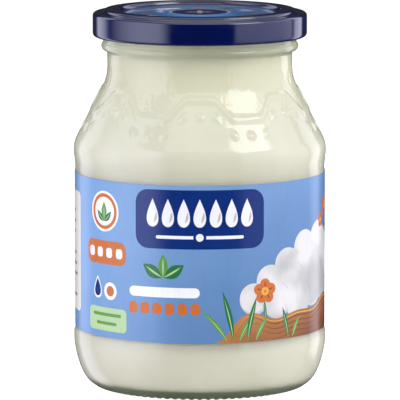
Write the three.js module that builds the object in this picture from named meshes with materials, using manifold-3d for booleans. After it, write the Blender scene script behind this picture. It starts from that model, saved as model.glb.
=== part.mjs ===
// A returnable half-litre glass jar filled with set yogurt. It is shut by a pressed metal twist-off
// lid, and a paper label is wrapped round it. Millimetres, +Z up. The jar stands on z = 0 round the
// Z axis, and the middle of the label's front faces -Y.

import * as THREE from 'three';
import { mergeVertices } from 'three/addons/utils/BufferGeometryUtils.js';
import Module from 'manifold-3d';

const wasm = await Module();
wasm.setup();

const DEGREE = Math.PI / 180;
const FACETS = 60; // flat sides round every turned piece
const FIT_GAP = 0.3; // clearance between two pieces that touch

// The glass jar, outside
const CONTACT_RADIUS = 43.2; // the two rings where jars knock against each other
const PANEL_RADIUS = 42.7; // the band between the rings, set back for the label
const LOWER_RING_BOTTOM = 15.7;
const LOWER_RING_TOP = 18.4;
const PANEL_BOTTOM = 20.2;
const PANEL_TOP = 75.6;
const UPPER_RING_HEIGHT = 81.2; // the middle of the upper ring
const SHOULDER_ROUNDING = 10; // convex, from the upper ring into the sloping shoulder
const SHOULDER_ANGLE = 27.3 * DEGREE; // slope of the shoulder, from upright
const SHOULDER_STEPS = 3;
const NECK_RADIUS = 31.6;
const NECK_BOTTOM = 109.9;
const NECK_ROUNDING = 16; // concave, from the sloping shoulder into the neck
const NECK_STEPS = 4;
const NECK_TOP = 114.3;
const BEAD_HEIGHT = 116.75; // the ring of glass that shows just under the lid
const BEAD_CENTRE_RADIUS = 32.05;
const BEAD_ROUNDING = 1.6;
const BEAD_SWEEP = 75 * DEGREE; // how far the bead's arc runs below its middle
const BEAD_STEPS = 4;
const FINISH_RADIUS = 33; // the mouth's outer wall, hidden by the lid
const RIM_HEIGHT = 126.9;
const RIM_ROUNDING = 1.3;
const RIM_STEPS = 2;

// The heel is a superellipse from the foot up to the lower ring
const HEEL_START_RADIUS = 31.9;
const HEEL_POWER_OUT = 3.5;
const HEEL_POWER_UP = 1.32;
const HEEL_STEPS = 8;

// The underside: a shallow push-up, and a foot ring with small radial bars that it stands on
const PUSH_UP = 2.4;
const PUSH_UP_RADIUS = 30.3;
const PUSH_UP_STEPS = 3;
const BAR_COUNT = 80;
const BAR_DEPTH = 0.45;
const BAR_WIDTH = 1.4;
const BAR_INNER_RADIUS = 31.2;
const BAR_OUTER_RADIUS = 34.4;
const BAR_FLARE = 1.8; // how far a bar's ends slope out on the way up into the glass
const BAR_ROOT = 0.3; // how far a bar reaches into the glass

// The glass jar, inside
const WALL = 2.9;
const INSIDE_RADIUS = CONTACT_RADIUS - WALL;
const FLOOR_HEIGHT = 3.3;
const FLOOR_RISE = 1.9; // the floor's middle stands this much higher
const FLOOR_STEPS = 2;

// The lid
const SHEET = 0.5;
const LID_RADIUS = 36.6;
const LID_BOTTOM = 119.95;
const LID_SHOULDER_HEIGHT = 127.95;
const LID_ROUNDING = 1.84;
const LID_EDGE_STEPS = 3;
const CURL_ROUNDING = 1.2; // the sheet's lower edge is rolled inwards
const CURL_STEPS = 6;
const LID_RING_HEIGHT = 129.2; // the raised ring over the rim
const LID_RING_OUTER = 33.3;
const LID_RING_INNER = 27.4;
const LID_RING_SLOPE = 0.9;
const LID_RING_ROUNDING = 0.3;
const LID_PANEL_HEIGHT = 127.7;
const BUTTON_RADIUS = 11; // the safety button in the middle
const BUTTON_RISE = 0.4;
const BUTTON_SLOPE = 2;

// The contents and the label
const YOGURT_HEIGHT = 120.6;
const LABEL_BOTTOM = 20.4;
const LABEL_TOP = 73.9;
const LABEL_INNER_RADIUS = 42.78;
const LABEL_OUTER_RADIUS = 42.95;

const point = (radius, height) => new THREE.Vector2(radius, height);

// Points of an arc in the profile plane. Angle 0 points outwards and 90 degrees points up.
function arc(centreRadius, centreHeight, rounding, from, to, steps) {
  return Array.from({ length: steps + 1 }, (_, i) => {
    const angle = from + ((to - from) * i) / steps;
    return point(centreRadius + rounding * Math.cos(angle), centreHeight + rounding * Math.sin(angle));
  });
}

// Points of a shallow dish in the profile plane, from the axis out to its edge
function dish(edgeRadius, edgeHeight, middleHeight, steps) {
  return Array.from({ length: steps + 1 }, (_, i) => {
    const share = i / steps;
    return point(edgeRadius * share, middleHeight + (edgeHeight - middleHeight) * share ** 2);
  });
}

function turned(outline) {
  return new THREE.LatheGeometry(outline, FACETS).rotateX(90 * DEGREE);
}

// Points of the heel's superellipse between two radii, from a low height up to the lower ring
function heelCurve(startRadius, endRadius, lowHeight, startAngle) {
  return Array.from({ length: HEEL_STEPS + 1 }, (_, i) => {
    const angle = startAngle * (1 - i / HEEL_STEPS);
    return point(
      startRadius + (endRadius - startRadius) * Math.cos(angle) ** (2 / HEEL_POWER_OUT),
      LOWER_RING_BOTTOM - (LOWER_RING_BOTTOM - lowHeight) * Math.sin(angle) ** (2 / HEEL_POWER_UP)
    );
  });
}

// From the middle of the underside, out over the foot and up to the lower ring
function footAndHeel() {
  const pushUp = dish(PUSH_UP_RADIUS, BAR_DEPTH, PUSH_UP, PUSH_UP_STEPS);
  const start = Math.asin((1 - BAR_DEPTH / LOWER_RING_BOTTOM) ** (HEEL_POWER_UP / 2));
  return [...pushUp, ...heelCurve(HEEL_START_RADIUS, CONTACT_RADIUS, 0, start)];
}

// From the lower ring up over the label panel, the shoulder, the neck and the bead to the rim
function sideAndMouth() {
  const ringCentre = CONTACT_RADIUS - SHOULDER_ROUNDING;
  const beadEnd = Math.acos((FINISH_RADIUS - BEAD_CENTRE_RADIUS) / BEAD_ROUNDING);
  const bead = arc(
    BEAD_CENTRE_RADIUS, BEAD_HEIGHT, BEAD_ROUNDING, -BEAD_SWEEP, beadEnd, BEAD_STEPS
  );
  const rim = arc(
    FINISH_RADIUS - RIM_ROUNDING, RIM_HEIGHT - RIM_ROUNDING, RIM_ROUNDING,
    0, 90 * DEGREE, RIM_STEPS
  );
  return [
    point(CONTACT_RADIUS, LOWER_RING_TOP),
    point(PANEL_RADIUS, PANEL_BOTTOM),
    point(PANEL_RADIUS, PANEL_TOP),
    point((PANEL_RADIUS + CONTACT_RADIUS) / 2, (PANEL_TOP + UPPER_RING_HEIGHT) / 2),
    ...arc(
      ringCentre, UPPER_RING_HEIGHT, SHOULDER_ROUNDING, 0, SHOULDER_ANGLE, SHOULDER_STEPS
    ),
    ...arc(
      NECK_RADIUS + NECK_ROUNDING, NECK_BOTTOM, NECK_ROUNDING,
      180 * DEGREE + SHOULDER_ANGLE, 180 * DEGREE, NECK_STEPS
    ),
    point(NECK_RADIUS, NECK_TOP),
    ...bead,
    ...rim
  ];
}

// The hollow of the jar from the middle of its floor up to the neck, drawn in by a gap
function hollow(gap) {
  const floor = FLOOR_HEIGHT + gap;
  const floorRadius = HEEL_START_RADIUS - WALL - gap;
  return [
    ...dish(floorRadius, floor, floor + FLOOR_RISE, FLOOR_STEPS).slice(0, -1),
    ...heelCurve(floorRadius, INSIDE_RADIUS - gap, floor, 90 * DEGREE),
    ...arc(
      CONTACT_RADIUS - SHOULDER_ROUNDING, UPPER_RING_HEIGHT, SHOULDER_ROUNDING - WALL - gap,
      0, SHOULDER_ANGLE, SHOULDER_STEPS - 1
    ),
    ...arc(
      NECK_RADIUS + NECK_ROUNDING, NECK_BOTTOM, NECK_ROUNDING + WALL + gap,
      180 * DEGREE + SHOULDER_ANGLE, 180 * DEGREE, NECK_STEPS - 1
    )
  ];
}

// A solid from a geometry's triangles, with shared corners and without the triangles that shrink to
// nothing on the axis
function solidOf(geometry) {
  const bare = geometry.clone().deleteAttribute('normal').deleteAttribute('uv');
  const merged = mergeVertices(bare, 1e-4);
  const corners = merged.index.array;
  const kept = [];
  for (let i = 0; i < corners.length; i += 3) {
    const [a, b, c] = corners.slice(i, i + 3);
    if (a !== b && b !== c && c !== a) kept.push(a, b, c);
  }
  return new wasm.Manifold(
    new wasm.Mesh({
      numProp: 3,
      vertProperties: new Float32Array(merged.attributes.position.array),
      triVerts: new Uint32Array(kept)
    })
  );
}

function geometryOf(solid) {
  const { vertProperties, triVerts } = solid.getMesh();
  const geometry = new THREE.BufferGeometry();
  geometry.setAttribute('position', new THREE.BufferAttribute(vertProperties, 3));
  geometry.setIndex(new THREE.BufferAttribute(triVerts, 1));
  geometry.computeVertexNormals();
  return geometry;
}

// One bar under the foot ring: its long profile across the ring, as thick as the bar is wide
function footBar() {
  const top = BAR_DEPTH + BAR_ROOT;
  const section = new THREE.Shape([
    point(BAR_INNER_RADIUS, 0),
    point(BAR_OUTER_RADIUS, 0),
    point(BAR_OUTER_RADIUS + BAR_FLARE, top),
    point(BAR_INNER_RADIUS - BAR_FLARE / 3, top)
  ]);
  return new THREE.ExtrudeGeometry(section, { depth: BAR_WIDTH, bevelEnabled: false })
    .translate(0, 0, -BAR_WIDTH / 2)
    .rotateX(90 * DEGREE)
    .rotateZ(-90 * DEGREE);
}

function glassJar() {
  const mouthRadius = NECK_RADIUS - WALL;
  const mouth = [
    point(mouthRadius + RIM_ROUNDING / 2, RIM_HEIGHT),
    point(mouthRadius, RIM_HEIGHT - RIM_ROUNDING / 2)
  ];
  const outline = [...footAndHeel(), ...sideAndMouth(), ...mouth, ...hollow(0).reverse()];
  const shell = solidOf(turned(outline));
  const bars = Array.from({ length: BAR_COUNT }, (_, i) =>
    solidOf(footBar().rotateZ((i * 360 * DEGREE) / BAR_COUNT))
  );
  return geometryOf(bars.reduce((body, bar) => body.add(bar), shell));
}

function yogurt() {
  const side = hollow(FIT_GAP);
  const surface = [point(side.at(-1).x, YOGURT_HEIGHT), point(0, YOGURT_HEIGHT)];
  return turned([...side, ...surface]);
}

function label() {
  return turned([
    point(LABEL_INNER_RADIUS, LABEL_BOTTOM),
    point(LABEL_OUTER_RADIUS, LABEL_BOTTOM),
    point(LABEL_OUTER_RADIUS, LABEL_TOP),
    point(LABEL_INNER_RADIUS, LABEL_TOP),
    point(LABEL_INNER_RADIUS, LABEL_BOTTOM)
  ]);
}

// The lid's sheet, with its sealing ring under the raised ring, from under the middle, round the
// rolled edge and over the top
function lid() {
  const skirtInside = LID_RADIUS - SHEET;
  const sealHeight = RIM_HEIGHT + FIT_GAP;
  const curlCentre = LID_RADIUS - CURL_ROUNDING;
  const curl = arc(
    curlCentre, LID_BOTTOM + CURL_ROUNDING, CURL_ROUNDING, 90 * DEGREE, 360 * DEGREE, CURL_STEPS
  );
  const edge = arc(
    LID_RADIUS - LID_ROUNDING, LID_SHOULDER_HEIGHT - LID_ROUNDING, LID_ROUNDING,
    0, 90 * DEGREE, LID_EDGE_STEPS
  );
  return turned([
    point(0, LID_PANEL_HEIGHT - SHEET),
    point(LID_RING_INNER, LID_PANEL_HEIGHT - SHEET),
    point(LID_RING_INNER + SHEET, sealHeight),
    point(LID_RING_OUTER + SHEET, sealHeight),
    point(skirtInside - LID_ROUNDING / 2, LID_SHOULDER_HEIGHT - SHEET),
    point(skirtInside, LID_SHOULDER_HEIGHT - LID_ROUNDING),
    point(skirtInside, LID_BOTTOM + CURL_ROUNDING * 2),
    ...curl,
    ...edge,
    point(LID_RING_OUTER, LID_SHOULDER_HEIGHT),
    point(LID_RING_OUTER - LID_RING_SLOPE / 3, LID_RING_HEIGHT - LID_RING_ROUNDING),
    point(LID_RING_OUTER - LID_RING_SLOPE, LID_RING_HEIGHT),
    point(LID_RING_INNER + LID_RING_SLOPE, LID_RING_HEIGHT),
    point(LID_RING_INNER, LID_PANEL_HEIGHT),
    point(BUTTON_RADIUS + BUTTON_SLOPE, LID_PANEL_HEIGHT),
    point(BUTTON_RADIUS, LID_PANEL_HEIGHT + BUTTON_RISE),
    point(0, LID_PANEL_HEIGHT + BUTTON_RISE)
  ]);
}

function piece(name, geometry, finish) {
  const mesh = new THREE.Mesh(geometry, new THREE.MeshStandardMaterial(finish));
  mesh.name = name;
  return mesh;
}

const jarOfYogurt = new THREE.Group();
jarOfYogurt.add(
  piece('glass_jar', glassJar(), {
    color: 0xdfe6d8, roughness: 0.05, metalness: 0, transparent: true, opacity: 0.35
  }),
  piece('yogurt', yogurt(), { color: 0xeeece0, roughness: 0.5, metalness: 0 }),
  piece('lid', lid(), { color: 0x0a1d5c, roughness: 0.25, metalness: 0.3 }),
  piece('label', label(), { color: 0x7eaadb, roughness: 0.45, metalness: 0 })
);

export default jarOfYogurt;
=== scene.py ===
import math
import random

import bmesh
import bpy
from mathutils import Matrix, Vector
from mathutils.geometry import delaunay_2d_cdt


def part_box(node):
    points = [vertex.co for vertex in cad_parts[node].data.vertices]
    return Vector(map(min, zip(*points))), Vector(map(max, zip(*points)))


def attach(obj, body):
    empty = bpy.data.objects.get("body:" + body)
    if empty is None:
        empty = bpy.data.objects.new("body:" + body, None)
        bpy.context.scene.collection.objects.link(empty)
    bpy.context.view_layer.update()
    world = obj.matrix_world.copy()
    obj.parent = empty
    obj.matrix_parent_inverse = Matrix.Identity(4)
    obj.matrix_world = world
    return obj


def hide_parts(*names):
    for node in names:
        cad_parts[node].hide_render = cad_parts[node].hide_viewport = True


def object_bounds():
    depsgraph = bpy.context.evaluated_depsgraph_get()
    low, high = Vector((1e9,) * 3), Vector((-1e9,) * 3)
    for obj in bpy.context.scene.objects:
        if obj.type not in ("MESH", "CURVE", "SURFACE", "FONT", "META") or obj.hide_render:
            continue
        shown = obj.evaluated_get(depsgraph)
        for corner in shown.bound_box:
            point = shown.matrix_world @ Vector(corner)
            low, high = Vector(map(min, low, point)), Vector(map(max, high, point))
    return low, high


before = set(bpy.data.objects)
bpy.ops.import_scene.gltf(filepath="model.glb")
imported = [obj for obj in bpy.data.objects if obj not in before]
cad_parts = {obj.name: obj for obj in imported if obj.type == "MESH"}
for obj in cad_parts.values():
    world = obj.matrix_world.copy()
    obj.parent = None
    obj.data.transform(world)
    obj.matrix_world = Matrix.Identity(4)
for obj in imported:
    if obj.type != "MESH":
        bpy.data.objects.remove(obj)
cad_low, cad_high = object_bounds()
MM = 0.001


# The camera stands in front of the jar and looks slightly down on it, through a long lens from
# far away, so that the upright sides hardly lean.

camera_height = math.radians(7.8)  # above the horizon
camera_distance = 1.715
aim = Vector((0, 0, 0.49 * cad_high.z))  # just below the jar's middle


def placed(name, data):
    """A new object in the scene, with a mesh, a lamp or a camera as its data."""
    made = bpy.data.objects.new(name, data)
    bpy.context.scene.collection.objects.link(made)
    return made


camera_data = bpy.data.cameras.new("camera")
camera_data.sensor_width = 36
camera_data.lens = 450
camera_data.shift_x = 0.0005
camera = placed("camera", camera_data)
back = Vector((0, -math.cos(camera_height), math.sin(camera_height)))
camera.location = aim + camera_distance * back
camera.rotation_mode = "QUATERNION"
camera.rotation_quaternion = (-back).to_track_quat("-Z", "Y")
bpy.context.scene.camera = camera


# The jar is one piece of blown soda-lime glass, clear with a faint green tint where it is thick. It
# stands on a foot ring with small radial bars, and the two widest rings keep the label from
# rubbing. A wave with a row of pearls below it is moulded round the shoulder.

AROUND = 480  # facets round the jar, six to each bar of the foot
QUARTER_TURN = math.pi / 2
HALF_TURN = math.pi
contact_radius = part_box("glass_jar")[1].x / MM  # of the two widest rings
rim_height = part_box("glass_jar")[1].z / MM
panel_radius = 42.7
lower_ring = (15.7, 18.4)  # the heights where it starts and ends
panel = (20.2, 75.6)  # the same for the even part behind the label
upper_ring_height = 81.2
shoulder_angle = math.radians(27.3)
shoulder_rounding = 10
neck_radius = 31.6
neck_height = 109.9
neck_rounding = 16
neck_top = 114.3
bead_height = 116.75
bead_radius = 32.05
bead_rounding = 1.6
bead_angles = (math.radians(-78), math.radians(58))
finish_radius = 33  # above the bead
rim_rounding = 1.3
wall = 2.9
floor_height = 3.8
floor_rise = 1.4  # from the edge of the hollow's floor to its middle
floor_radius = 34.6
foot_height = 0.45  # of the bars that the jar stands on
push_up = 2.4  # the height of the underside's middle
foot_radius = 30.3
heel_start = 31.9
heel_power_out = 3.5  # the two powers of the heel's curve
heel_power_up = 1.32
relief_sizes = {
    "Bars": 80.0,
    "Bar depth": foot_height * MM,
    "Foot inside": 30.9 * MM,
    "Foot outside": 35.6 * MM,
    "Waves": 7.0,
    "Wave height": 98.5 * MM,
    "Wave swing": 3.2 * MM,
    "Ridge": 2.0 * MM,
    "Pearls": 42.0,
    "Pearl drop": 5.4 * MM,
    "Pearl": 2.1 * MM,
    "Relief": 0.45 * MM,
}
glass_tint = (0.62, 0.92, 0.6, 1)  # of light that has come through much glass
glass_roughness = 0.015
scuff_roughness = 0.16  # that much more where it is scuffed
scuffed_rings = ((17, 2.8), (81.5, 4))  # the height and the half-width of each
rippled_shoulder = ((88, 97), (116, 109))  # heights from still to rippled, below and above


def arc(radius, height, rounding, start, end, steps):
    """Points of an arc in the profile plane; angle 0 points outwards and 90 degrees points up."""
    angles = [start + (end - start) * i / steps for i in range(steps + 1)]
    return [(radius + rounding * math.cos(a), height + rounding * math.sin(a)) for a in angles]


def straight(start, end, steps):
    """Points between two points of the profile, without the two themselves."""
    (radius, height), (end_radius, end_height) = start, end
    shares = [i / steps for i in range(1, steps)]
    return [
        (radius + (end_radius - radius) * s, height + (end_height - height) * s) for s in shares
    ]


def dish(edge_radius, edge_height, middle_height, steps):
    """Points of a shallow dish, from the axis out to its edge."""
    rise = edge_height - middle_height
    shares = [i / steps for i in range(steps + 1)]
    return [(edge_radius * s, middle_height + rise * s * s) for s in shares]


def turned(name, outline, around, material=None):
    """A piece turned round the upright axis from an outline in millimetres, front at -Y."""
    vertices, rings = [], []
    for radius, height in outline:
        if radius < 1e-6:
            rings.append([len(vertices)] * around)
            vertices.append((0, 0, height * MM))
            continue
        rings.append(list(range(len(vertices), len(vertices) + around)))
        for i in range(around):
            angle = 2 * math.pi * i / around
            vertices.append(
                (radius * MM * math.sin(angle), -radius * MM * math.cos(angle), height * MM)
            )
    faces = []
    for low, high in zip(rings, rings[1:]):
        for i in range(around):
            j = (i + 1) % around
            corners = [low[i], low[j], high[j], high[i]]
            face = [c for k, c in enumerate(corners) if c != corners[k - 1]]
            if len(face) > 2:
                faces.append(face)
    mesh = bpy.data.meshes.new(name)
    mesh.from_pydata(vertices, [], faces)
    mesh.shade_smooth()
    piece = placed(name, mesh)
    if material:
        mesh.materials.append(material)
    return piece


def add(tree, kind, inputs=(), **settings):
    """A node with its settings, and with values or links for its inputs."""
    node = tree.nodes.new(kind)
    for name, value in settings.items():
        setattr(node, name, value)
    for name, value in dict(inputs).items():
        if isinstance(value, bpy.types.NodeSocket):
            tree.links.new(value, node.inputs[name])
        else:
            node.inputs[name].default_value = value
    return node


def maths(tree, operation, first, second=0.0):
    """The result of one Math node."""
    return add(tree, "ShaderNodeMath", {0: first, 1: second}, operation=operation).outputs[0]


def ramp(tree, value, start, end, low=0.0, high=1.0):
    """A value eased from low to high while it runs from start to end."""
    sockets = {"Value": value, "From Min": start, "From Max": end, "To Min": low, "To Max": high}
    node = add(tree, "ShaderNodeMapRange", sockets, interpolation_type="SMOOTHSTEP")
    return node.outputs["Result"]


def noise(tree, place, scale, detail, upright=None):
    """Soft noise; upright stretches or squeezes its scale along the height."""
    if upright:
        moved = add(tree, "ShaderNodeMapping", {"Vector": place, "Scale": (1, 1, upright)})
        place = moved.outputs[0]
    sockets = {"Vector": place, "Scale": scale, "Detail": detail}
    return add(tree, "ShaderNodeTexNoise", sockets).outputs["Fac"]


def bumped(tree, shader, height, strength, distance):
    """Gives a shader's surface the small bumps of a height."""
    sockets = {"Height": height, "Strength": strength, "Distance": distance}
    bump = add(tree, "ShaderNodeBump", sockets)
    tree.links.new(bump.outputs["Normal"], shader.inputs["Normal"])


def group(kind, name, inputs, outputs):
    """A node group with its sockets, and its input and output nodes."""
    tree = bpy.data.node_groups.new(name, kind)
    for direction, sockets in (("INPUT", inputs), ("OUTPUT", outputs)):
        for socket, (form, value) in sockets.items():
            form = "NodeSocket" + form
            made = tree.interface.new_socket(socket, in_out=direction, socket_type=form)
            if value is not None:
                made.default_value = value
    return tree, tree.nodes.new("NodeGroupInput"), tree.nodes.new("NodeGroupOutput")


def new_material(name):
    """A material with its node tree, its Principled shader and its output."""
    material = bpy.data.materials.new(name)
    material.use_nodes = True
    tree = material.node_tree
    return material, tree, tree.nodes["Principled BSDF"], tree.nodes["Material Output"]


def heel_curve(start, end, low, first, steps):
    """The heel's curve, a superellipse from the foot up to the lower ring."""
    angles = [first * (1 - i / steps) for i in range(steps + 1)]
    return [
        (
            start + (end - start) * math.cos(a) ** (2 / heel_power_out),
            lower_ring[0] - (lower_ring[0] - low) * math.sin(a) ** (2 / heel_power_up),
        )
        for a in angles
    ]


def jar_outline():
    """The outlines of the jar's outside, from under its middle to the rim, and of its inside."""
    first = math.asin((1 - foot_height / lower_ring[0]) ** (heel_power_up / 2))
    heel = heel_curve(heel_start, contact_radius, 0, first, steps=20)
    foot = straight((foot_radius, foot_height), heel[0], steps=8)
    ring_centre = contact_radius - shoulder_rounding
    ring_stand = contact_radius - panel_radius
    swell = [
        (
            panel_radius + ring_stand * (0.5 - 0.5 * math.cos(math.pi * i / 8)),
            panel[1] + (upper_ring_height - panel[1]) * i / 8,
        )
        for i in range(8)
    ]
    ring = arc(ring_centre, upper_ring_height, shoulder_rounding, 0, shoulder_angle, steps=12)
    neck = arc(
        neck_radius + neck_rounding, neck_height, neck_rounding,
        HALF_TURN + shoulder_angle, HALF_TURN, steps=12,
    )
    bead = arc(bead_radius, bead_height, bead_rounding, *bead_angles, steps=12)
    edge_height = rim_height - rim_rounding
    rim = arc(finish_radius - rim_rounding, edge_height, rim_rounding, 0, QUARTER_TURN, steps=4)
    mouth = arc(
        neck_radius - wall + rim_rounding, edge_height, rim_rounding,
        QUARTER_TURN, HALF_TURN, steps=4,
    )
    step = [
        (
            panel_radius + ring_stand * (0.5 + 0.5 * math.cos(math.pi * i / 6)),
            lower_ring[1] + (panel[0] - lower_ring[1]) * i / 6,
        )
        for i in range(7)
    ]
    outside = (
        dish(foot_radius, foot_height, push_up, steps=6)
        + foot
        + heel
        + step
        + swell
        + ring
        + straight(ring[-1], neck[0], steps=64)
        + neck
        + [(neck_radius, neck_top - 2), (neck_radius, neck_top)]
        + [(neck_radius + 0.15, neck_top + 0.5)]
        + bead
        + [(finish_radius, bead_height + bead_rounding + 0.3)]
        + rim
    )
    return outside, mouth + inside_outline(0)[::-1]


def inside_outline(reach):
    """The hollow from the middle of its floor to the neck, let into the wall by reach."""
    low = floor_height - reach
    start = floor_radius + reach
    end = contact_radius - wall + reach
    return (
        dish(start, low, low + floor_rise, steps=4)[:-1]
        + heel_curve(start, end, low, QUARTER_TURN - 1e-6, steps=14)
        + arc(
            contact_radius - shoulder_rounding, upper_ring_height,
            shoulder_rounding - wall + reach, 0, shoulder_angle, steps=6,
        )
        + arc(
            neck_radius + neck_rounding, neck_height, neck_rounding + wall - reach,
            HALF_TURN + shoulder_angle, HALF_TURN, steps=8,
        )
    )


def glass():
    """Clear soda-lime glass. Lamps shine through it, and its depth tints it green."""
    material, tree, shader, output = new_material("jar_glass")
    place = add(tree, "ShaderNodeTexCoord").outputs["Object"]
    height = add(tree, "ShaderNodeSeparateXYZ", {0: place}).outputs["Z"]
    bands = []
    for middle, half_width in scuffed_rings:
        off = maths(tree, "ABSOLUTE", maths(tree, "SUBTRACT", height, middle * MM))
        bands.append(ramp(tree, off, half_width * MM, 0.8 * MM))
    specks = ramp(tree, noise(tree, place, scale=900, detail=4), 0.52, 0.66)
    scuffs = maths(tree, "MULTIPLY", maths(tree, "MAXIMUM", *bands), specks)
    scuffs = maths(tree, "MULTIPLY", scuffs, scuff_roughness)
    dull = maths(tree, "ADD", scuffs, glass_roughness)
    tree.links.new(dull, shader.inputs["Roughness"])
    edges = [ramp(tree, height, still * MM, full * MM) for still, full in rippled_shoulder]
    on_shoulder = maths(tree, "MULTIPLY", *edges)
    ripples = noise(tree, place, scale=560, detail=1, upright=0.55)
    ripples = maths(tree, "MULTIPLY", maths(tree, "MULTIPLY", ripples, on_shoulder), 2.5)
    waves = noise(tree, place, scale=70, detail=1)
    surface = maths(tree, "ADD", waves, ripples)
    bumped(tree, shader, surface, strength=0.13, distance=0.0006)
    shader.inputs["Base Color"].default_value = (0.985, 1, 0.975, 1)
    shader.inputs["Transmission Weight"].default_value = 1
    shader.inputs["IOR"].default_value = 1.52
    clear = add(tree, "ShaderNodeBsdfTransparent", {"Color": (0.95, 0.97, 0.93, 1)})
    shadow = add(tree, "ShaderNodeLightPath").outputs["Is Shadow Ray"]
    mix = add(tree, "ShaderNodeMixShader", {0: shadow, 1: shader.outputs[0], 2: clear.outputs[0]})
    tree.links.new(mix.outputs[0], output.inputs["Surface"])
    depth = add(tree, "ShaderNodeVolumeAbsorption", {"Color": glass_tint, "Density": 40})
    tree.links.new(depth.outputs[0], output.inputs["Volume"])
    return material


def moulded_relief(material):
    """Geometry nodes that press the foot's bars and the shoulder's wave into the turned glass."""
    sockets = {"Geometry": ("Geometry", None)}
    sockets.update({name: ("Float", 0.0) for name in relief_sizes})
    tree, given, result = group(
        "GeometryNodeTree", "moulded relief", sockets, {"Geometry": ("Geometry", None)}
    )
    size = given.outputs
    place = add(tree, "GeometryNodeInputPosition").outputs[0]
    axes = add(tree, "ShaderNodeSeparateXYZ", {0: place}).outputs
    flat = add(tree, "ShaderNodeVectorMath", {0: place, 1: (1, 1, 0)}, operation="MULTIPLY")
    radius = add(
        tree, "ShaderNodeVectorMath", {0: flat.outputs[0]}, operation="LENGTH"
    ).outputs["Value"]
    angle = maths(tree, "ARCTAN2", axes["X"], maths(tree, "MULTIPLY", axes["Y"], -1.0))
    outside = add(
        tree, "GeometryNodeInputNamedAttribute", {"Name": "outside"}, data_type="FLOAT"
    ).outputs["Attribute"]

    # The bars stand down from the foot, between its inner and its outer edge.
    teeth = maths(tree, "COSINE", maths(tree, "MULTIPLY", angle, size["Bars"]))
    teeth = ramp(tree, teeth, -0.45, 0.45)
    before = maths(tree, "SUBTRACT", size["Foot inside"], 0.6 * MM)
    beyond = maths(tree, "ADD", size["Foot outside"], 1.6 * MM)
    on_foot = maths(
        tree, "MULTIPLY",
        ramp(tree, radius, before, size["Foot inside"]),
        ramp(tree, radius, beyond, size["Foot outside"]),
    )
    on_foot = maths(tree, "MULTIPLY", on_foot, ramp(tree, axes["Z"], 1.6 * MM, 0.7 * MM))
    bars = maths(tree, "MULTIPLY", maths(tree, "MULTIPLY", teeth, on_foot), size["Bar depth"])

    # The wave is a low ridge, and the pearls keep their distance below it.
    swing = maths(tree, "COSINE", maths(tree, "MULTIPLY", angle, size["Waves"]))
    swing = ramp(tree, swing, -0.7, 0.7, -1, 1)
    swing = maths(tree, "MULTIPLY", swing, size["Wave swing"])
    above = maths(tree, "SUBTRACT", axes["Z"], maths(tree, "ADD", size["Wave height"], swing))
    ridge = ramp(tree, maths(tree, "ABSOLUTE", above), size["Ridge"], 0.2 * MM)
    turns = maths(tree, "DIVIDE", maths(tree, "MULTIPLY", angle, size["Pearls"]), 2 * math.pi)
    across = maths(tree, "SUBTRACT", turns, maths(tree, "ROUND", turns))
    spacing = maths(tree, "DIVIDE", maths(tree, "MULTIPLY", radius, 2 * math.pi), size["Pearls"])
    across = maths(tree, "MULTIPLY", across, spacing)
    below = maths(tree, "ADD", above, size["Pearl drop"])
    squares = [maths(tree, "MULTIPLY", part, part) for part in (across, below)]
    to_pearl = maths(tree, "SQRT", maths(tree, "ADD", *squares))
    pearl = ramp(tree, to_pearl, size["Pearl"], 0.2 * MM)
    lift = maths(tree, "MULTIPLY", maths(tree, "MAXIMUM", ridge, pearl), size["Relief"])
    lift = maths(tree, "MULTIPLY", lift, outside)

    normal = add(tree, "GeometryNodeInputNormal").outputs[0]
    outwards = add(tree, "ShaderNodeVectorMath", {0: normal, "Scale": lift}, operation="SCALE")
    downwards = add(
        tree, "ShaderNodeCombineXYZ",
        {"Z": maths(tree, "MULTIPLY", maths(tree, "MULTIPLY", bars, outside), -1.0)},
    )
    offset = add(
        tree, "ShaderNodeVectorMath", {0: outwards.outputs[0], 1: downwards.outputs[0]}
    ).outputs[0]
    pressed = add(
        tree, "GeometryNodeSetPosition", {"Geometry": size["Geometry"], "Offset": offset}
    )
    real = add(tree, "GeometryNodeRealizeInstances", {0: pressed.outputs[0]})
    finished = add(
        tree, "GeometryNodeSetMaterial", {"Geometry": real.outputs[0], "Material": material}
    )
    tree.links.new(finished.outputs[0], result.inputs["Geometry"])
    return tree


def settled(piece, tree=None, sizes=()):
    """The piece with its geometry nodes and other modifiers worked into a plain mesh."""
    if tree:
        nodes = piece.modifiers.new("nodes", "NODES")
        nodes.node_group = tree
        for socket in tree.interface.items_tree:
            if socket.name in sizes:
                nodes[socket.identifier] = sizes[socket.name]
    seen = piece.evaluated_get(bpy.context.evaluated_depsgraph_get())
    mesh = bpy.data.meshes.new_from_object(seen)
    piece.modifiers.clear()
    piece.data = mesh
    mesh.name = piece.name
    return piece


outer, inner = jar_outline()
jar = turned("jar", outer + inner, AROUND)
outside_mark = jar.data.attributes.new("outside", "FLOAT", "POINT")
outer_count = 1 + (len(outer) - 1) * AROUND  # the first ring is one point
marked = [float(i < outer_count) for i in range(len(jar.data.vertices))]
outside_mark.data.foreach_set("value", marked)
jar_glass = glass()
settled(jar, moulded_relief(jar_glass), relief_sizes)
jar.data.shade_smooth()
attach(jar, "root")
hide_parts("glass_jar")


# The contents are whole-milk yogurt, set in the jar, so it lies against the glass all over. It is
# creamy white and moist, with a slightly uneven tone where it touches the glass.

REACH = 0.06  # how far the yogurt reaches into the wall, so that no air gap shows
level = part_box("yogurt")[1].z / MM
skin_rounding = 0.8
curd_tones = ((0.845, 0.745, 0.652, 1), (0.895, 0.792, 0.705, 1))
pore_tone = (0.78, 0.692, 0.61, 1)
# Painted light: the yogurt in the neck is painted brighter and warmer, to lift the shade under the
# lid and to stand for light yellowed by the thick glass.
painted_neck_light = (0.95, 0.835, 0.67, 1)
painted_neck_light_heights = (90, 112)


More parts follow.
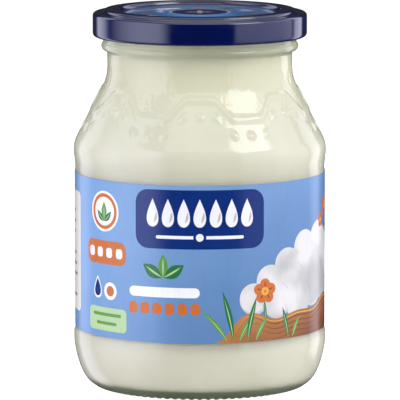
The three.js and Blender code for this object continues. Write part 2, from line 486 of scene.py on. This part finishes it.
def mixed(tree, share, first, second):
    """A colour between two, while share runs from 0 to 1."""
    sockets = {0: share, 6: first, 7: second}
    return add(tree, "ShaderNodeMix", sockets, data_type="RGBA").outputs[2]


def set_yogurt():
    """Moist set yogurt: soft tones, fine pores, a little light under its surface, painted light in
    the neck.
    """
    material, tree, shader, _ = new_material("set_yogurt")
    place = add(tree, "ShaderNodeTexCoord").outputs["Object"]
    height = add(tree, "ShaderNodeSeparateXYZ", {0: place}).outputs["Z"]
    clouds = noise(tree, place, scale=45, detail=3)
    pores = ramp(tree, noise(tree, place, scale=420, detail=2), 0.55, 0.75, 0, 0.25)
    neck_light_share = ramp(tree, height, *(h * MM for h in painted_neck_light_heights))
    tone = mixed(tree, ramp(tree, clouds, 0.35, 0.65), *curd_tones)
    tone = mixed(tree, pores, tone, pore_tone)
    # Painted light in the neck, brighter and warmer towards the top.
    tone = mixed(tree, neck_light_share, tone, painted_neck_light)
    tree.links.new(tone, shader.inputs["Base Color"])
    tree.links.new(ramp(tree, clouds, 0.3, 0.7, 0.42, 0.52), shader.inputs["Roughness"])
    bumped(tree, shader, clouds, strength=0.2, distance=0.001)
    shader.inputs["Subsurface Weight"].default_value = 0.2
    shader.inputs["Subsurface Radius"].default_value = (1.0, 0.8, 0.5)
    shader.inputs["Subsurface Scale"].default_value = 0.0015
    shader.inputs["Specular IOR Level"].default_value = 0.15
    return material


side = inside_outline(REACH)
top_radius = side[-1][0]
skin = arc(
    top_radius - skin_rounding, level - skin_rounding, skin_rounding, 0, QUARTER_TURN, steps=4
)
flat_top = [(top_radius / 2, level), (0, level)]
yogurt = turned("set_yogurt", side + skin + flat_top, AROUND // 2, set_yogurt())
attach(yogurt, "root")
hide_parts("yogurt")


# The lid is pressed from tinplate, lacquered navy outside, with its lower edge rolled inwards. A
# raised ring runs over the jar's rim, and the sunk middle has a safety button and is printed.

lid_low, lid_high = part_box("lid")
lid_radius = lid_high.x / MM
lid_bottom = lid_low.z / MM
ring_height = lid_high.z / MM
sheet = 0.3  # of tinplate
shoulder_height = 128.1
lid_rounding = 1.05
curl = 1.2
ring_outside = 33.3
ring_inside = 27.4
ring_slope = 1.1
ring_roundings = (0.55, 0.45)  # outside and inside
seal_gap = 0.3  # between the jar's rim and the lid
panel_height = 127.7
button_radius = 11
button_rise = 0.4
button_slope = 2
lid_print_radius = 26.2
marks = 12  # in a ring round the button
marks_radius = 18.5
LID_AROUND = 240  # facets round the lid
weld_distance = 0.005


def lacquer(name, ink):
    """Glossy lacquer on tinplate, in one ink, slightly paler and duller where it is rubbed."""
    material, tree, shader, _ = new_material(name)
    place = add(tree, "ShaderNodeTexCoord").outputs["Object"]
    rubbed = noise(tree, place, scale=90, detail=5)
    paler = [c + 0.004 for c in ink[:3]] + [1]
    colour = mixed(tree, ramp(tree, rubbed, 0.45, 0.75), ink, paler)
    tree.links.new(colour, shader.inputs["Base Color"])
    tree.links.new(ramp(tree, rubbed, 0.45, 0.75, 0.1, 0.17), shader.inputs["Roughness"])
    orange_peel = noise(tree, place, scale=260, detail=2)
    bumped(tree, shader, orange_peel, strength=0.05, distance=0.0002)
    shader.inputs["IOR"].default_value = 1.5
    shader.inputs["Coat Weight"].default_value = 0.8
    shader.inputs["Coat Roughness"].default_value = 0.04
    return material


def lid_outline():
    """The lid's outline from under its middle, round the rolled edge, to the edge of the panel."""
    skirt_inside = lid_radius - sheet
    under_ring = rim_height + seal_gap
    edge_height = shoulder_height - lid_rounding
    outside, inside = ring_roundings
    roll = arc(lid_radius - curl, lid_bottom + curl, curl, QUARTER_TURN, 2 * HALF_TURN, steps=18)
    edge = arc(lid_radius - lid_rounding, edge_height, lid_rounding, 0, QUARTER_TURN, steps=10)
    rise = arc(
        ring_outside - ring_slope, ring_height - outside, outside, 0, QUARTER_TURN, steps=6
    )
    fall = arc(
        ring_inside + ring_slope, ring_height - inside, inside, QUARTER_TURN, HALF_TURN, steps=6
    )
    return (
        [(0, panel_height - sheet), (ring_inside, panel_height - sheet)]
        + [(ring_inside + 0.5, under_ring), (ring_outside + 0.4, under_ring)]
        + [(skirt_inside - 1, shoulder_height - sheet), (skirt_inside, edge_height)]
        + [(skirt_inside, lid_bottom + 2 * curl)]
        + roll
        + [(lid_radius, lid_bottom + curl + 1)]
        + edge
        + [(ring_outside + 0.35, shoulder_height), (ring_outside - 0.1, shoulder_height + 0.12)]
        + rise
        + fall
        + [(ring_inside + 0.25, panel_height + 0.15), (ring_inside, panel_height)]
    )


def disc(x, y, radius, steps=32):
    """A round outline in a flat sheet, in millimetres."""
    turn = 2 * math.pi / steps
    angles = [i * turn for i in range(steps)]
    return [(x + radius * math.cos(a), y + radius * math.sin(a)) for a in angles]


def rounded_box(x, y, width, height, rounding, steps=6):
    """A box with rounded corners, drawn round its middle."""
    outline = []
    for k, (sx, sy) in enumerate(((1, 1), (-1, 1), (-1, -1), (1, -1))):
        cx, cy = x + sx * (width / 2 - rounding), y + sy * (height / 2 - rounding)
        for i in range(steps + 1):
            a = (k + i / steps) * math.pi / 2
            outline.append((cx + rounding * math.cos(a), cy + rounding * math.sin(a)))
    return outline


def turned_by(outline, x, y, angle):
    """An outline turned about the flat origin and then moved."""
    c, s = math.cos(angle), math.sin(angle)
    return [(x + c * u - s * v, y + s * u + c * v) for u, v in outline]


def leaf(x, y, length, width, angle, bend=0.0):
    """A pointed leaf that starts at a point, runs along an angle and may bend to its left."""
    steps = 10
    shares = [i / steps for i in range(steps + 1)]
    rib = [(length * t, length * bend * t * t, width / 2 * math.sin(math.pi * t)) for t in shares]
    upper = [(u, v + half) for u, v, half in rib]
    lower = [(u, v - half) for u, v, half in rib]
    return turned_by(upper + lower[-2:0:-1], x, y, angle)


def cut(border, shapes, guides=()):
    """Triangles of a flat sheet, each with the number of the topmost shape that it lies in."""
    points, loops = [], []
    for outline in [border] + [s for _, s in shapes]:
        area = sum(a[0] * b[1] - b[0] * a[1] for a, b in zip(outline, outline[1:] + outline[:1]))
        loops.append(list(range(len(points), len(points) + len(outline))))
        points += [Vector(p) for p in (outline if area > 0 else outline[::-1])]
    edges = []
    for start, end in guides:
        edges.append((len(points), len(points) + 1))
        points += [Vector(start), Vector(end)]
    inside_only, closeness = 1, 1e-5
    vertices, _, faces, _, _, owners = delaunay_2d_cdt(
        points, edges, loops, inside_only, closeness
    )
    kept = [(f, max(o)) for f, o in zip(faces, owners) if 0 in o]
    return vertices, kept


navy_lacquer = lacquer("navy_lacquer", (0.0006, 0.004, 0.052, 1))
print_inks = {
    "sky": lacquer("sky_lacquer", (0.07, 0.27, 0.66, 1)),
    "navy": navy_lacquer,
    "blue": lacquer("blue_lacquer", (0.004, 0.02, 0.17, 1)),
    "white": lacquer("white_lacquer", (0.78, 0.78, 0.76, 1)),
    "orange": lacquer("orange_lacquer", (0.62, 0.2, 0.05, 1)),
    "green": lacquer("green_lacquer", (0.06, 0.25, 0.07, 1)),
}


def lid_print():
    """The shapes printed on the sunk middle of the lid, from the bottom one up."""
    shapes = [("sky", disc(0, 0, lid_print_radius, 120))]
    shapes.append(("white", disc(0, 0, button_radius - 0.4, 64)))
    shapes.append(("blue", disc(0, 0, button_radius - 1.4, 64)))
    for k in range(marks):
        a = 2 * math.pi * k / marks
        x, y = marks_radius * math.cos(a), marks_radius * math.sin(a)
        ink = ("orange", "white", "green")[k % 3]
        mark = rounded_box(0, 0, 6.2, 2.4, 1.1) if k % 3 else disc(0, 0, 2)
        shapes.append((ink, turned_by(mark, x, y, a + math.pi / 2)))
    for width, height in ((9, 1.8), (1.8, 9)):
        shapes.append(("white", rounded_box(0, 0, width, height, 0.9)))
    return shapes


def lid_middle():
    """The printed middle as a flat mesh that is pressed up over the safety button."""
    border = disc(0, 0, ring_inside, LID_AROUND)
    rings = [disc(0, 0, button_radius + button_slope * s, 96) for s in (0, 0.5, 1)]
    guides = [(ring[i - 1], ring[i]) for ring in rings for i in range(len(ring))]
    shapes = lid_print()
    vertices, faces = cut(border, shapes, guides)
    inks = list(print_inks)
    heights = []
    for p in vertices:
        share = min(max((button_radius + button_slope - p.length) / button_slope, 0), 1)
        heights.append(panel_height + button_rise * share * share * (3 - 2 * share))
    points = [(p.x * MM, p.y * MM, h * MM) for p, h in zip(vertices, heights)]
    numbers = [inks.index(shapes[o - 1][0]) if o else inks.index("navy") for _, o in faces]
    mesh = bpy.data.meshes.new("lid_middle")
    mesh.from_pydata(points, [], [f for f, _ in faces])
    for ink in print_inks.values():
        mesh.materials.append(ink)
    mesh.polygons.foreach_set("material_index", numbers)
    mesh.shade_smooth()
    return placed("lid_middle", mesh)


def joined(name, pieces, distance):
    """One piece from several, with their shared edges welded."""
    made = bmesh.new()
    materials = []
    for piece in pieces:
        slots = list(piece.data.materials)
        for m in slots:
            if m not in materials:
                materials.append(m)
        before = len(made.faces)
        made.from_mesh(piece.data)
        made.faces.ensure_lookup_table()
        for face in made.faces[before:]:
            face.material_index = materials.index(slots[face.material_index])
        bpy.data.objects.remove(piece)
    bmesh.ops.remove_doubles(made, verts=made.verts, dist=distance)
    mesh = bpy.data.meshes.new(name)
    made.to_mesh(mesh)
    made.free()
    for m in materials:
        mesh.materials.append(m)
    mesh.shade_smooth()
    return placed(name, mesh)


lid = joined(
    "twist_off_lid",
    [turned("lid_shell", lid_outline(), LID_AROUND, navy_lacquer), lid_middle()],
    weld_distance * MM,
)
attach(lid, "root")
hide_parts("lid")


# The label is coated paper, printed and wrapped once round the jar between its two rings. Its ends
# overlap and are glued together at the back. The print is plain shapes in flat inks.

label_low, label_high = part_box("label")
label_bottom = label_low.z / MM
label_height = (label_high.z - label_low.z) / MM
paper = 0.1
label_radius = 42.82  # of the paper's inner face
overlap = 8
overlap_rise = 1.5  # how far the upper end takes to climb over the lower one
glue = 0.02
half_round = math.pi * label_radius


def coated_paper():
    """Colour, roughness and surface height of printed, coated paper on glass."""
    tree, given, result = group(
        "ShaderNodeTree", "coated paper",
        {"Ink": ("Color", (0.5, 0.5, 0.5, 1)), "Mottle": ("Float", 0.09)},
        {"Color": ("Color", None), "Roughness": ("Float", None), "Height": ("Float", None)},
    )
    place = add(tree, "ShaderNodeTexCoord").outputs["Object"]
    fibres = noise(tree, place, scale=900, detail=3, upright=0.12)
    patches = noise(tree, place, scale=120, detail=3)
    slack = noise(tree, place, scale=38, detail=2, upright=2.2)
    uneven = maths(tree, "SUBTRACT", maths(tree, "ADD", fibres, patches), 1.0)
    light = maths(tree, "ADD", maths(tree, "MULTIPLY", uneven, given.outputs["Mottle"]), 1.0)
    colour = add(
        tree, "ShaderNodeVectorMath", {0: given.outputs["Ink"], "Scale": light}, operation="SCALE"
    ).outputs[0]
    height = maths(tree, "ADD", maths(tree, "MULTIPLY", fibres, 0.04), slack)
    tree.links.new(colour, result.inputs["Color"])
    tree.links.new(ramp(tree, patches, 0.3, 0.7, 0.2, 0.225), result.inputs["Roughness"])
    tree.links.new(height, result.inputs["Height"])
    return tree


paper_group = coated_paper()


def printed(name, ink, second=None, fade=(0.008, 0.085, -0.85, 0.012), mottle=0.09):
    """Coated paper in one ink, or in a soft change from a second ink below to the first above.

    The fade runs between two heights, leans with the distance to the right, and wanders.
    """
    material, tree, shader, _ = new_material(name)
    source = ink
    if second:
        low, high, lean, wander = fade
        place = add(tree, "ShaderNodeTexCoord").outputs["Object"]
        axes = add(tree, "ShaderNodeSeparateXYZ", {0: place}).outputs
        slope = maths(tree, "ADD", maths(tree, "MULTIPLY", axes["X"], lean), axes["Z"])
        drift = maths(tree, "SUBTRACT", noise(tree, place, scale=60, detail=2), 0.5)
        drift = maths(tree, "MULTIPLY", drift, wander)
        source = mixed(tree, ramp(tree, maths(tree, "ADD", slope, drift), low, high), second, ink)
    coat = add(
        tree, "ShaderNodeGroup", {"Ink": source, "Mottle": mottle}, node_tree=paper_group
    ).outputs
    tree.links.new(coat["Color"], shader.inputs["Base Color"])
    tree.links.new(coat["Roughness"], shader.inputs["Roughness"])
    bumped(tree, shader, coat["Height"], strength=0.25, distance=0.0004)
    shader.inputs["IOR"].default_value = 1.46
    return material


label_inks = {
    "sky": printed("ink_sky", (0.17, 0.312, 0.535, 1), (0.09, 0.19, 0.37, 1)),
    "navy": printed("ink_navy", (0.0012, 0.022, 0.15, 1), mottle=0.2),
    "white": printed("ink_white", (0.76, 0.77, 0.77, 1)),
    "cloud": printed(
        "ink_cloud", (0.62, 0.61, 0.585, 1), (0.38, 0.38, 0.365, 1), (0.018, 0.056, -0.1, 0.11)
    ),
    "pale": printed("ink_pale_grey", (0.44, 0.44, 0.43, 1)),
    "orange": printed("ink_orange", (0.5, 0.13, 0.025, 1)),
    "yellow": printed("ink_yellow", (0.68, 0.34, 0.04, 1)),
    "clay": printed(
        "ink_clay", (0.44, 0.19, 0.055, 1), (0.13, 0.033, 0.01, 1), (-0.012, 0.032, -0.55, 0.02)
    ),
    "umber": printed("ink_umber", (0.13, 0.04, 0.015, 1)),
    "deep": printed("ink_deep_green", (0.02, 0.15, 0.04, 1)),
    "leaf": printed("ink_leaf_green", (0.1, 0.27, 0.05, 1)),
    "mint": printed("ink_mint", (0.38, 0.54, 0.28, 1)),
    "cream": printed("ink_cream", (0.66, 0.64, 0.55, 1)),
    "grey": printed("ink_grey", (0.2, 0.21, 0.22, 1)),
}


def drop(x, y, width, height):
    """A milk drop, round below and pointed above, drawn round its middle."""
    steps = 28
    outline = []
    for i in range(steps):
        a = 2 * math.pi * i / steps
        half = width / 2 * math.sin(a) * math.sin(a / 2) ** 1.3 * 1.12
        outline.append((x + half, y + height / 2 * math.cos(a)))
    return outline


def field(left, right, crests, sunk=0.0):
    """A field with a rolling upper edge that tapers to nothing at both ends.

    Each crest has a place, a height and a half-width.
    """
    steps = 70
    taper = 9
    top = []
    for i in range(1, steps):
        x = right - (right - left) * i / steps
        swell = sum(h * math.exp(-(((x - c) / w) ** 2)) for c, h, w in crests)
        ends = min((x - left) / taper, (right - x) / taper, 1)
        top.append((x, max(swell * math.sin(ends * math.pi / 2) - sunk, 0.02)))
    return [(left, 0), (right, 0)] + top


def furrow(left, right, crests, sunk):
    """A thin line across a field, a little below its upper edge."""
    outline = field(left, right, crests, sunk)[2:]
    thin = [(x, y) for x, y in outline if y > 0.3]
    count = len(thin) - 1
    depths = [0.3 * math.sin(math.pi * i / count) for i in range(count + 1)]
    under = [(x, y - 0.05 - depth) for (x, y), depth in zip(thin, depths)]
    return thin + under[-2:0:-1]


def blade(ink, x, y, length, width, angle, bend=0.0):
    """A leaf with a pale rib along its middle."""
    return [
        (ink, leaf(x, y, length, width, angle, bend)),
        ("mint", leaf(x, y, length * 0.86, width * 0.16, angle, bend)),
    ]


def blossom(x, y, size):
    """Five orange petals with darker hearts round a yellow middle."""
    shapes = []
    for k in range(5):
        a = math.pi / 2 + 2 * math.pi * k / 5
        c, s = math.cos(a), math.sin(a)
        shapes.append(("orange", disc(x + 0.58 * size * c, y + 0.58 * size * s, 0.46 * size, 20)))
        heart = leaf(x + 0.3 * size * c, y + 0.3 * size * s, 0.5 * size, 0.1 * size, a)
        shapes.append(("umber", heart))
    return shapes + [("yellow", disc(x, y, 0.34 * size, 20)), ("clay", disc(x, y, 0.14 * size, 12))]


def front_print():
    """What is printed on the label's front, from the bottom shape up.

    A place is given to the right of the front's middle and above the label's lower edge.
    """
    shapes = []

    # Clouds over a brown field, with grass and blossoms, on the right.
    clouds = (
        (42, 30, 6.2), (52, 31.5, 6.8), (61.5, 29, 6.6), (33, 25, 6), (44, 24.5, 7.4),
        (56, 24, 8.2), (67, 22, 7.5), (25.5, 20, 5.8), (35, 19, 7), (47, 17.5, 8),
        (60, 16, 8.5), (72, 14, 7), (19, 14.5, 5.4), (28, 13.5, 6.2), (38, 12.5, 6.5),
    )
    for x, y, r in clouds:
        shapes.append(("pale", disc(x, y, r, 48)))
        shapes.append(("cloud", disc(x - 0.35, y + 0.45, r - 0.4, 48)))
    crests = ((17, 9, 9), (37, 8.5, 13), (60, 12, 13))
    shapes.append(("clay", field(5, 86, crests)))
    shapes.append(("yellow", furrow(8, 86, crests, 0.75)))
    for k in range(5):
        shapes.append(("umber", furrow(8 + 3 * k, 86, crests, 1.6 + 1.7 * k)))
    grass = (
        (9.5, 14, 1.8, 0.5, 0.18), (11.5, 18, 2.1, 0.12, 0.1), (13.5, 10, 1.7, -0.35, -0.15),
        (16.5, 15.5, 1.9, -0.1, -0.12), (19.5, 9, 1.6, -0.3, -0.2), (33, 11, 1.7, 0.15, 0.1),
        (35, 8, 1.5, -0.3, -0.2),
    )
    for k, (x, length, width, lean, bend) in enumerate(grass):
        shapes += blade(("leaf", "deep")[k % 2], x, 0.3, length, width, math.pi / 2 + lean, bend)
    shapes += blade("deep", 23.5, 6, 9, 1.1, math.pi / 2 + 0.1)
    shapes += blossom(23, 17, 4.2)
    shapes += blade("leaf", 66, 27, 17, 1, math.pi / 2 + 0.2, 0.2)
    shapes += blade("deep", 64.4, 33, 6, 2.4, math.pi - 0.5)
    shapes += blade("leaf", 63.6, 36, 6, 2.2, 0.4)
    shapes += blossom(60.5, 42.5, 4)
    shapes += blossom(54.5, 38, 2.6)

    # The navy panel with a row of milk drops, in the middle.
    shapes.append(("navy", rounded_box(0, 42, 45, 20, 4.6)))
    drop_spacing = 5.4
    for k in range(-3, 4):
        shapes.append(("white", drop(drop_spacing * k, 44.2, 5.2, 9.6)))
        shapes.append(("pale", leaf(drop_spacing * k + 0.5, 40.8, 3.8, 0.9, 1.1, 0.25)))
    bar_height = 36
    shapes.append(("white", rounded_box(0, bar_height, 30, 1.1, 0.5)))
    for ink, radius in (("navy", 2.2), ("white", 1.3)):
        shapes.append((ink, disc(0, bar_height, radius)))

    # A badge with a sprout and three smaller panels, on the left.
    badge = -36.5
    for ink, radius in (("white", 6.9), ("orange", 6.1), ("white", 4.9)):
        shapes.append((ink, disc(badge, 43, radius, 48)))
    shapes += blade("leaf", badge, 39.6, 6.6, 2.6, math.pi / 2)
    shapes += blade("deep", badge, 39.6, 4.9, 2, 0.6, 0.2)
    shapes += blade("deep", badge, 39.6, 4.9, 2, 2.54, -0.2)
    orange_panel = -36.3
    shapes.append(("orange", rounded_box(orange_panel, 29, 19.6, 8, 2.6)))
    for k in (-1.5, -0.5, 0.5, 1.5):
        shapes.append(("white", rounded_box(orange_panel + 4.6 * k, 29, 2.8, 3.4, 1)))
    shapes += [("white", drop(-40, 17, 5.4, 7.8)), ("navy", drop(-40, 16.9, 4.2, 6.2))]
    shapes += [("white", disc(-33.5, 16, 3)), ("orange", disc(-33.5, 16, 1.8))]
    mint_panel = -35.6
    shapes.append(("mint", rounded_box(mint_panel, 6.2, 18.6, 8, 1.6)))
    for up, width in ((1.6, 14), (-1.4, 10)):
        shapes.append(("leaf", rounded_box(mint_panel, 6.2 + up, width, 1.1, 0.5)))

    # Three leaves over a white bar and a row of orange blocks, below the navy panel.
    sprout = -12.5
    shapes += blade("deep", sprout, 22.2, 8.4, 4.2, 0.45, 0.1)
    shapes += blade("deep", sprout, 22.2, 8.4, 4.2, math.pi - 0.45, -0.1)
    shapes += blade("leaf", sprout, 22.2, 8, 3.4, math.pi / 2)
    shapes.append(("white", rounded_box(sprout, 17.2, 25, 3.4, 1.7)))
    for k in (-2.5, -1.5, -0.5, 0.5, 1.5, 2.5):
        shapes.append(("orange", rounded_box(sprout + 4.4 * k, 11.6, 3.3, 4, 1.3)))
    return shapes


def back_print():
    """The plain back: two cream panels with rows of bars, a sprout and a blossom."""
    shapes = []
    for middle in (-75, 104):
        shapes.append(("cream", rounded_box(middle, 27, 44, 41, 2)))
        draw = random.Random(7 + int(middle))
        margin = middle - 19
        for row in range(10):
            width = (38 if row % 4 else 26) - draw.uniform(0, 5)
            bar = rounded_box(margin + width / 2, 44 - 3.6 * row, width, 1, 0.4)
            shapes.append(("grey", bar))
    shapes += blade("leaf", -112, 14, 9, 3, 0.9)
    shapes += blade("deep", -112, 14, 9, 3, 2.2)
    shapes += blossom(-112, 28, 5)
    return shapes


def wrapped(u, v, lift):
    """Where a point of the flat label comes to lie on the jar, its lift above the inner face."""
    angle = u / label_radius
    over = min(max((u - half_round + overlap_rise) / overlap_rise, 0), 1)
    radius = (label_radius + lift + over * (paper + glue)) * MM
    return radius * math.sin(angle), -radius * math.cos(angle), (label_bottom + v) * MM


def label_sleeve():
    """The printed sheet, wrapped round the jar and closed by its inner face and its edges."""
    left, right = -half_round, half_round + overlap
    strips = 124
    columns = [left + (right - left) * i / strips for i in range(strips + 1)]
    border = [(u, 0) for u in columns] + [(u, label_height) for u in reversed(columns)]
    guides = [((u, 0), (u, label_height)) for u in columns[1:-1]]
    shapes = front_print() + back_print()
    vertices, faces = cut(border, shapes, guides)
    inks = list(label_inks)
    points = [wrapped(p.x, p.y, paper) for p in vertices]
    numbers = [inks.index(shapes[o - 1][0]) if o else inks.index("sky") for _, o in faces]
    mesh = bpy.data.meshes.new("label_print")
    mesh.from_pydata(points, [], [f for f, _ in faces])
    for ink in label_inks.values():
        mesh.materials.append(ink)
    mesh.polygons.foreach_set("material_index", numbers)
    mesh.shade_smooth()
    piece = placed("paper_label", mesh)
    backing = piece.modifiers.new("thickness", "SOLIDIFY")
    backing.thickness = paper * MM
    backing.offset = -1
    settled(piece)
    radial = [
        Vector((v.co.x, v.co.y, 0)).normalized() * (1 if v.index < len(points) else -1)
        for v in piece.data.vertices
    ]
    piece.data.normals_split_custom_set_from_vertices(radial)
    return piece


label = label_sleeve()
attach(label, "root")
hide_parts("label")


# The stage isn't part of the object: a plain pale floor with a round white plate under the jar. A
# tall soft box, a fill light and a narrow strip stand on each side, and three more soft lights
# hang high on the right, in front and above.

cool = (0.97, 0.965, 1.17)
jar_middle = Vector((0, 0, 0.08))
floor_reach = 4.0
floor_level = -0.7
plate_radius = 130
plate_low = -0.6
plate_high = -0.1
foot_shade = (43, 33.5)  # the radii where the plate starts to darken and is dark


def softbox(
    name, azimuth, elevation, distance, width, height, radiance,
    fades=(0.1, 0.1, 0.1, 0.1), fill=False, colour=(1, 1, 1),
):
    """A soft light aimed at the jar's middle; azimuth 0 is the camera's side, 90 the right.

    Its light fades over shares of its width, at the end of higher azimuth and at the other, and
    over shares of its height, at the bottom and at the top. A fill light isn't mirrored.
    """
    data = bpy.data.lights.new(name, "AREA")
    data.shape = "RECTANGLE"
    data.size, data.size_y = width, height
    data.energy = radiance * math.pi * width * height
    data.color = colour
    data.use_nodes = True
    tree = data.node_tree
    spot = add(tree, "ShaderNodeNewGeometry").outputs["Parametric"]
    axes = add(tree, "ShaderNodeSeparateXYZ", {0: spot}).outputs
    share = 1.0
    for axis, edge, fade in zip("XXYY", (1, 0, 0, 1), fades):
        share = maths(tree, "MULTIPLY", ramp(tree, axes[axis], edge, abs(edge - fade)), share)
    tree.links.new(share, tree.nodes["Emission"].inputs["Strength"])
    light = placed(name, data)
    light.visible_glossy = not fill
    a, e = math.radians(azimuth), math.radians(elevation)
    away = Vector((math.sin(a) * math.cos(e), -math.cos(a) * math.cos(e), math.sin(e)))
    light.location = jar_middle + distance * away
    light.rotation_mode = "QUATERNION"
    light.rotation_quaternion = away.to_track_quat("Z", "Y")


# After each name: azimuth, elevation, distance, width, height, radiance, and then the fades.
softbox("left_box", -72, -4, 0.8, 1.5, 1.67, 2.05, (0.25, 0.62, 0.5, 0.1), colour=cool)
softbox("right_box", 77, -4, 0.8, 1.46, 1.67, 1.5, (0.12, 0.1, 0.9, 0.1), colour=cool)
softbox("right_high", 57, 39.5, 0.8, 0.58, 0.34, 5.8, (0.3, 0.2, 0.3, 0.25))
softbox("left_fill", -88, 12, 0.8, 0.8, 0.7, 1.5, fill=True, colour=cool)
softbox("right_fill", 88, 12, 0.8, 0.8, 0.7, 1.3, fill=True, colour=cool)
softbox("front_top", 0, 52, 0.9, 1.0, 0.45, 1.0)
softbox("left_strip", -128, -2, 0.8, 0.56, 1.5, 1.2, (0.45, 0.3, 0.1, 0.1), colour=cool)
softbox("right_strip", 129.5, 8, 0.8, 0.4, 1.0, 1.5, (0.3, 0.3, 0.1, 0.1), colour=cool)
softbox("top_box", 180, 80, 1.0, 1.0, 0.8, 0.9)


def matt_white(name):
    """Matt white for the stage, with its nodes and its shader's sockets."""
    material, tree, shader, _ = new_material(name)
    shader.inputs["Base Color"].default_value = (0.9, 0.9, 0.9, 1)
    shader.inputs["Roughness"].default_value = 0.9
    shader.inputs["Specular IOR Level"].default_value = 0
    shader.inputs["Emission Color"].default_value = (1, 1, 1, 1)
    return material, tree, shader.inputs


def pale_floor():
    """White for the floor, glowing to the eye alone."""
    material, tree, sockets = matt_white("pale_floor")
    seen = add(tree, "ShaderNodeLightPath").outputs["Is Camera Ray"]
    tree.links.new(maths(tree, "MULTIPLY", seen, 0.7), sockets["Emission Strength"])
    return material


def lit_plate():
    """Glowing white for the plate, which lights the jar from below.

    It is painted darker under the foot, as the jar's shadow, and to an eye that looks through the
    glass, as painted shade, so that the foot stands out against it.
    """
    material, tree, sockets = matt_white("lit_plate")
    rays = add(tree, "ShaderNodeLightPath").outputs
    place = add(tree, "ShaderNodeTexCoord").outputs["Object"]
    off = add(tree, "ShaderNodeVectorMath", {0: place}, operation="LENGTH").outputs["Value"]
    # Painted shadow of the jar under its foot, and painted shade where the plate is seen through
    # the glass.
    painted_foot_shadow = ramp(tree, off, *(radius * MM for radius in foot_shade))
    first_look = maths(tree, "LESS_THAN", rays["Diffuse Depth"], 0.5)
    painted_shade_through_glass = maths(tree, "MULTIPLY", rays["Is Transmission Ray"], first_look)
    painted_shade = maths(tree, "MAXIMUM", painted_foot_shadow, maths(tree, "MULTIPLY", painted_shade_through_glass, 0.7))
    painted_shade = maths(tree, "MULTIPLY", painted_shade, maths(tree, "SUBTRACT", 1.0, rays["Is Camera Ray"]))
    tree.links.new(ramp(tree, painted_shade, 0, 1, 0.9, 0.05), sockets["Base Color"])
    glow = maths(tree, "ADD", 0.4, maths(tree, "MULTIPLY", rays["Is Camera Ray"], 0.35))
    glow = maths(tree, "MULTIPLY", glow, ramp(tree, painted_shade, 0, 0.7, 1, 0.42))
    tree.links.new(glow, sockets["Emission Strength"])
    return material


def white_room():
    """White to the eye and an even light on the jar, of which gloss mirrors little but the top."""
    room = bpy.data.worlds.new("studio")
    room.use_nodes = True
    tree = room.node_tree
    tree.nodes.clear()
    toward = add(tree, "ShaderNodeTexCoord").outputs["Generated"]
    axes = add(tree, "ShaderNodeSeparateXYZ", {0: toward}).outputs
    rays = add(tree, "ShaderNodeLightPath").outputs
    far_side = ramp(tree, axes["Y"], -0.6, 0.98, 0.01, 0.03)
    overhead = ramp(tree, axes["Z"], 0.3, 0.75, 0, 0.5)
    mirrored = maths(tree, "ADD", far_side, overhead)
    strength = 0.36
    for ray, other in (("Is Glossy Ray", mirrored), ("Is Camera Ray", 1.0)):
        sockets = {0: rays[ray], 2: strength, 3: other}
        strength = add(tree, "ShaderNodeMix", sockets, data_type="FLOAT").outputs[0]
    white = add(tree, "ShaderNodeBackground", {"Color": (1, 1, 1, 1), "Strength": strength})
    add(tree, "ShaderNodeOutputWorld", {"Surface": white.outputs[0]})
    return room


square = [(-1, -1), (1, -1), (1, 1), (-1, 1)]
floor_sheet = bpy.data.meshes.new("floor")
floor_sheet.from_pydata(
    [(floor_reach * x, floor_reach * y, floor_level * MM) for x, y in square], [], [(0, 1, 2, 3)]
)
floor_sheet.materials.append(pale_floor())
floor = placed("floor", floor_sheet)
floor.visible_glossy = False

plate_edge = [(plate_radius, plate_low), (plate_radius, plate_high)]
plate_outline = [(0, plate_low), *plate_edge, (0, plate_high)]
plate = turned("plate", plate_outline, 96, lit_plate())
plate.visible_glossy = False

bpy.context.scene.world = white_room()
bpy.context.scene.view_settings.view_transform = "Standard"
